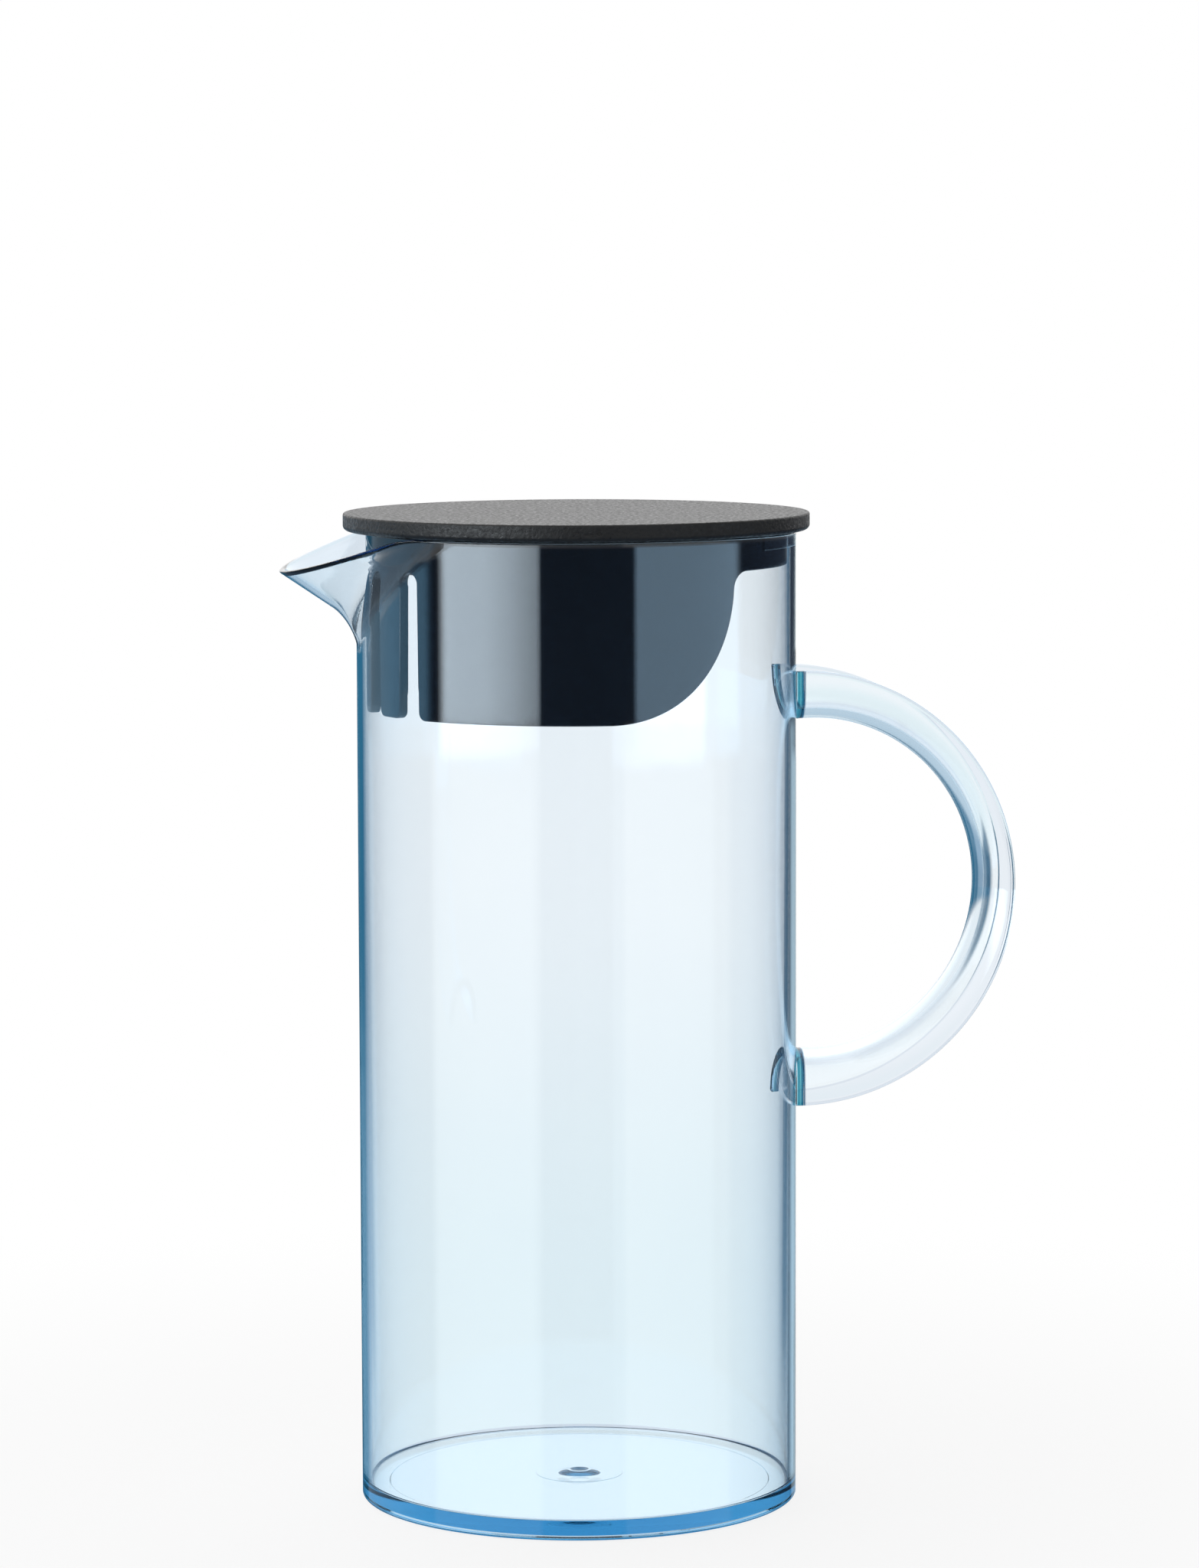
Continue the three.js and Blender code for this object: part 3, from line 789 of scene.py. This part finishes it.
def floor_material():
    """White that keeps a soft shadow near the jug; rays in the plastic see the studio instead."""
    material, tree, output = bare_material("white_floor")
    matt = tree.nodes.new("ShaderNodeBsdfDiffuse")
    matt.inputs["Color"].default_value = (*FLOOR_COLOUR, 1)
    white = tree.nodes.new("ShaderNodeEmission")
    clear = tree.nodes.new("ShaderNodeBsdfTransparent")
    path = tree.nodes.new("ShaderNodeLightPath")
    place = tree.nodes.new("ShaderNodeTexCoord")
    distance = tree.nodes.new("ShaderNodeVectorMath")
    distance.operation = "LENGTH"
    tree.links.new(place.outputs["Object"], distance.inputs[0])
    far = fade(tree, distance.outputs["Value"], FLOOR_FADE)
    white_share = maths(tree, "MULTIPLY_ADD", far, 1 - FLOOR_WHITE, FLOOR_WHITE)
    white_share = maths(tree, "MULTIPLY", path.outputs["Is Camera Ray"], white_share)
    shaded = mixed_shaders(tree, white_share, matt.outputs[0], white.outputs[0])
    in_plastic = maths(
        tree, "MAXIMUM", path.outputs["Is Transmission Ray"], path.outputs["Is Glossy Ray"]
    )
    surface = mixed_shaders(tree, in_plastic, shaded, clear.outputs[0])
    tree.links.new(surface, output.inputs["Surface"])
    return material


def make_floor():
    """Round floor that fades out at its edge."""
    bm = bmesh.new()
    bmesh.ops.create_circle(bm, cap_ends=True, radius=FLOOR_RADIUS, segments=FLOOR_STEPS)
    bmesh.ops.translate(bm, verts=bm.verts[:], vec=(0, 0, -FLOOR_DROP))
    bmesh.ops.recalc_face_normals(bm, faces=bm.faces[:])
    floor = bare_object(bm, "floor")
    floor.data.materials.append(floor_material())


# Colours of the panels that stand round the jug
NIGHT = (0.03, 0.04, 0.06)
SHADE = (0.04, 0.14, 0.23)
DIM = (0.4, 0.52, 0.62)
SIDE_PANEL = (0.27, 0.54, 0.78)
BACK_PANEL = (0.26, 0.39, 0.5)
FILL_PANEL = (0.74, 1.04, 1.33)
KEY_PANEL = (3.0, 3.4, 3.7)
LOW_KEY = (0.45, 0.42, 0.38)
LOW_FILL = (0.44, 0.41, 0.37)
LOW_SIDE = (0.3, 0.42, 0.54)
LOW_SHADE = (0.03, 0.15, 0.26)
EDGE_PANEL = (0.38, 0.5, 0.58)
SOFT = (0.6, 0.85, 1.05)
PANEL_PEAK = 4.0

# Colours of the ground, and of the backdrop behind the jug
GROUND = (0.62, 0.72, 0.8)
DARK_GROUND = (0.1, 0.16, 0.24)
BACKDROP = (1.17, 1.155, 1.125)
RIGHT_BACKDROP = (1.05, 1.07, 1.09)
HIGH_BACKDROP = (0.95, 0.95, 0.97)
LOW_BACKDROP = (0.9, 0.92, 0.95)
LOW_TINT = (0.9, 0.96, 0.965)
ONE_WALL = (0.8, 0.83, 0.88)

# Heights of directions, as the upright part of a unit vector, over which the light changes
KEY_FOOT = (-0.097, -0.101)
KEY_HEAD = (0.1, 0.3)
CEILING_RISE = (-0.062, -0.02)
HIGH_RISE = (0.0, 0.12)
TINT_FALL = (-0.12, -0.2)
WALL_FALL = (-0.14, -0.2)
WALL_RISE = (-0.06, -0.02)
SHADE_FALL = (-0.195, -0.23)
FLOOR_FALL = (-0.26, -0.4)

# The panels as (degrees from straight behind the jug, colour or share of one); right of the
# camera is plus
KEY_STOPS = [
    (-180, 0), (-161.4, 0), (-159.6, 0.44), (-156.6, 0.52), (-144, 0.8), (-131, 1),
    (-106.5, 1), (-102.5, 0), (180, 0),
]
LOW_KEY_STOPS = [(-180, 0), (-161.4, 0), (-159.6, 1), (-99.5, 1), (-96.5, 0), (180, 0)]
LAMP_STOPS = [
    (-180, NIGHT), (-97, NIGHT), (-93, SIDE_PANEL), (-66, SIDE_PANEL), (-44, BACK_PANEL),
    (-31, BACK_PANEL), (-27, LOW_SHADE), (-1, LOW_SHADE), (1, BACKDROP), (11, BACKDROP),
    (14, NIGHT), (84, NIGHT), (88, FILL_PANEL), (147.6, FILL_PANEL), (150.4, NIGHT),
    (180, NIGHT),
]
LOW_LAMP_STOPS = [
    (-180, NIGHT), (-97, NIGHT), (-68, LOW_SIDE), (-31, LOW_SIDE), (-27, LOW_SHADE),
    (-1, LOW_SHADE), (1, BACKDROP), (6, BACKDROP), (12, EDGE_PANEL), (24, EDGE_PANEL),
    (28, NIGHT), (90.5, NIGHT), (95, LOW_FILL), (154.5, LOW_FILL), (156.5, NIGHT),
    (180, NIGHT),
]
CEILING_STOPS = [
    (-180, 0.5), (-130, 0.9), (-30, 0.95), (-12, 1.3), (12, 1.3), (40, 0.8), (75, 0.3),
    (180, 0.5),
]
LEFT_GAPS = (-166, -121, -76)
RIGHT_GAPS = (59, 104, 149)
GAP_HALF = 7


def dim_gaps(middles):
    """Stops of narrow dim gaps in the backdrop."""
    stops = []
    for middle in middles:
        stops += [(middle - GAP_HALF, BACKDROP), (middle, DIM), (middle + GAP_HALF, BACKDROP)]
    return stops


def backdrop_stops(shade):
    """What shows straight through the walls: a white backdrop with gaps, two of them shaded."""
    left = [(-30, BACKDROP), (-27, shade), (-14.5, shade), (-10.8, BACKDROP), (4, BACKDROP)]
    right = [(10, RIGHT_BACKDROP), (13, shade), (24, shade), (26.5, BACKDROP)]
    behind = dim_gaps(LEFT_GAPS) + left + right + dim_gaps(RIGHT_GAPS)
    return [(-180, BACKDROP), *behind, (180, BACKDROP)]


def tinted(stops, colour):
    """Stops of one colour at the given shares."""
    return [(angle, tuple(level * share for level in colour)) for angle, share in stops]


def panels(tree, round_share, stops):
    """Light of the panels by direction; it is scaled up after the ramp, which ends at 1."""
    shares = []
    for angle, colour in stops:
        shares.append(((angle + 180) / 360, tuple(level / PANEL_PEAK for level in colour)))
    full = tree.nodes.new("ShaderNodeVectorMath")
    full.operation = "SCALE"
    full.inputs["Scale"].default_value = PANEL_PEAK
    tree.links.new(colour_band(tree, round_share, shares), full.inputs[0])
    return full.outputs["Vector"]


def more_than(tree, count, limit):
    """1 where a ray has met such surfaces more often than the limit, else 0."""
    return maths(tree, "GREATER_THAN", count, limit + 0.5)


def at_most(tree, count, limit):
    """1 where a ray has met such surfaces no more often than the limit, else 0."""
    return maths(tree, "LESS_THAN", count, limit + 0.5)


def ray_direction(tree):
    """A ray's way round the jug, from 0 to 1 with straight behind it at 0.5, and its height."""
    place = tree.nodes.new("ShaderNodeTexCoord")
    turn = tree.nodes.new("ShaderNodeVectorRotate")
    turn.rotation_type = "Z_AXIS"
    turn.inputs["Angle"].default_value = CAMERA_HEADING
    tree.links.new(place.outputs["Generated"], turn.inputs["Vector"])
    parts = tree.nodes.new("ShaderNodeSeparateXYZ")
    tree.links.new(turn.outputs[0], parts.inputs[0])
    angle = maths(tree, "ARCTAN2", parts.outputs["X"], parts.outputs["Y"])
    return maths(tree, "MULTIPLY_ADD", angle, 1 / math.tau, 0.5), parts.outputs["Z"]


def lamp_light(tree, path, round_share, height, steep):
    """What the jug mirrors: key and side panels under a pale ceiling, and the ground below."""
    low = fade(tree, height, KEY_FOOT)
    key = panels(tree, round_share, tinted(KEY_STOPS, KEY_PANEL))
    key = blend(tree, low, key, panels(tree, round_share, tinted(LOW_KEY_STOPS, LOW_KEY)))
    key = blend(tree, fade(tree, height, KEY_HEAD), key, BLACK)
    lamps = panels(tree, round_share, LAMP_STOPS)
    lamps = blend(tree, low, lamps, panels(tree, round_share, LOW_LAMP_STOPS))
    ceiling = panels(tree, round_share, tinted(CEILING_STOPS, WHITE))
    lamps = blend(tree, fade(tree, height, CEILING_RISE), lamps, ceiling)
    inside = more_than(tree, path.outputs["Transmission Depth"], 0)
    below = blend(tree, inside, DARK_GROUND, GROUND)
    lamps = blend(tree, steep, blend(tree, 1.0, lamps, key, "ADD"), below)
    under_walls = fade(tree, height, WALL_FALL)
    over_walls = fade(tree, height, WALL_RISE)
    off_walls = maths(tree, "MAXIMUM", under_walls, over_walls)
    many_mirrors = more_than(tree, path.outputs["Glossy Depth"], 1)
    return blend(tree, maths(tree, "MULTIPLY", many_mirrors, off_walls), lamps, SOFT)


def light_behind(tree, path, round_share, height, steep):
    """What shows straight through the walls, a little darker through one wall alone."""
    seen = panels(tree, round_share, backdrop_stops(SHADE))
    seen_below = panels(tree, round_share, backdrop_stops(BACKDROP))
    seen = blend(tree, fade(tree, height, SHADE_FALL), seen, seen_below)
    one_wall = at_most(tree, path.outputs["Transmission Depth"], 2)
    seen = blend(tree, one_wall, seen, ONE_WALL, "MULTIPLY")
    seen = blend(tree, fade(tree, height, TINT_FALL), seen, LOW_TINT, "MULTIPLY")
    seen = blend(tree, fade(tree, height, HIGH_RISE), seen, HIGH_BACKDROP)
    return blend(tree, steep, seen, LOW_BACKDROP)


def make_world():
    """White to the camera; standing panels for mirrored light and a backdrop behind the walls."""
    world = bpy.data.worlds.new("studio")
    bpy.context.scene.world = world
    world.use_nodes = True
    tree = world.node_tree
    tree.nodes.clear()
    output = tree.nodes.new("ShaderNodeOutputWorld")
    background = tree.nodes.new("ShaderNodeBackground")
    tree.links.new(background.outputs[0], output.inputs["Surface"])
    path = tree.nodes.new("ShaderNodeLightPath")
    round_share, height = ray_direction(tree)
    steep = fade(tree, height, FLOOR_FALL)
    lamps = lamp_light(tree, path, round_share, height, steep)
    behind = light_behind(tree, path, round_share, height, steep)
    no_mirror = at_most(tree, path.outputs["Glossy Depth"], 0)
    straight = maths(tree, "MULTIPLY", no_mirror, path.outputs["Is Transmission Ray"])
    light = blend(tree, straight, lamps, behind)
    light = blend(tree, path.outputs["Is Camera Ray"], light, WHITE)
    tree.links.new(light, background.inputs["Color"])


# Camera at the photograph's place
CAMERA_PLACE = (-0.19652, -1.32061, 0.31226)
CAMERA_TURN = [math.radians(angle) for angle in (84.0088, 0.1668, -8.7119)]
CAMERA_LENS = 128.73
CAMERA_SENSOR = 36
CAMERA_HEADING = math.radians(8.46)

# Light is followed far enough to come out of the thick base and the rims again
LIGHT_BOUNCES = 20
MIRROR_BOUNCES = 14


def make_camera():
    data = bpy.data.cameras.new("camera")
    data.lens = CAMERA_LENS
    data.sensor_width = CAMERA_SENSOR
    camera = bpy.data.objects.new("camera", data)
    camera.location = CAMERA_PLACE
    camera.rotation_euler = CAMERA_TURN
    bpy.context.scene.collection.objects.link(camera)
    bpy.context.scene.camera = camera


make_floor()
make_world()
make_camera()
scene = bpy.context.scene
scene.view_settings.view_transform = "Standard"
scene.cycles.max_bounces = LIGHT_BOUNCES
scene.cycles.transmission_bounces = LIGHT_BOUNCES
scene.cycles.glossy_bounces = MIRROR_BOUNCES
